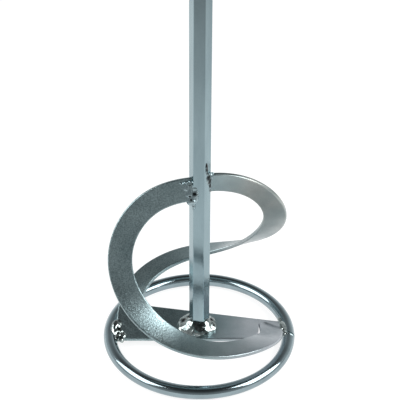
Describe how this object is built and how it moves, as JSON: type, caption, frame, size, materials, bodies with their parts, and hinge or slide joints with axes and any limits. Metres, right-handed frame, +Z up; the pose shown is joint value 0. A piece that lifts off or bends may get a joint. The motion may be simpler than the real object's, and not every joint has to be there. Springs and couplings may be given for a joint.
{
  "type": "mortar mixing paddle",
  "caption": "Drill-driven paddle for mixing mortar: a hexagonal shaft welded to a twisted blade plate whose blades rise to the shaft, inside a ring of round rod.",
  "frame": {"origin": "on the shaft's axis, level with the bottom of the ring", "axes": "+Z up the shaft towards the chuck end; +X along the blade plate's bar, which is turned 5 degrees from it"},
  "size_m": [0.12, 0.12, 0.6],
  "materials": {
    "shaft": "bright-drawn hexagonal bar, zinc plated, satin",
    "blades": "zinc-plated sheet, satin with a fine frosted grain",
    "ring": "zinc-plated round rod, bright",
    "welds": "rough weld metal under bright zinc plate"
  },
  "bodies": {
    "root": {"hex_shaft": "shaft", "blade_plate": "blades", "ring": "ring", "ring_seam_weld": "welds", "foot_weld": "welds", "front_blade_weld": "welds", "rear_blade_weld": "welds", "right_ring_weld": "welds", "left_ring_weld": "welds"}
  },
  "joints": []
}
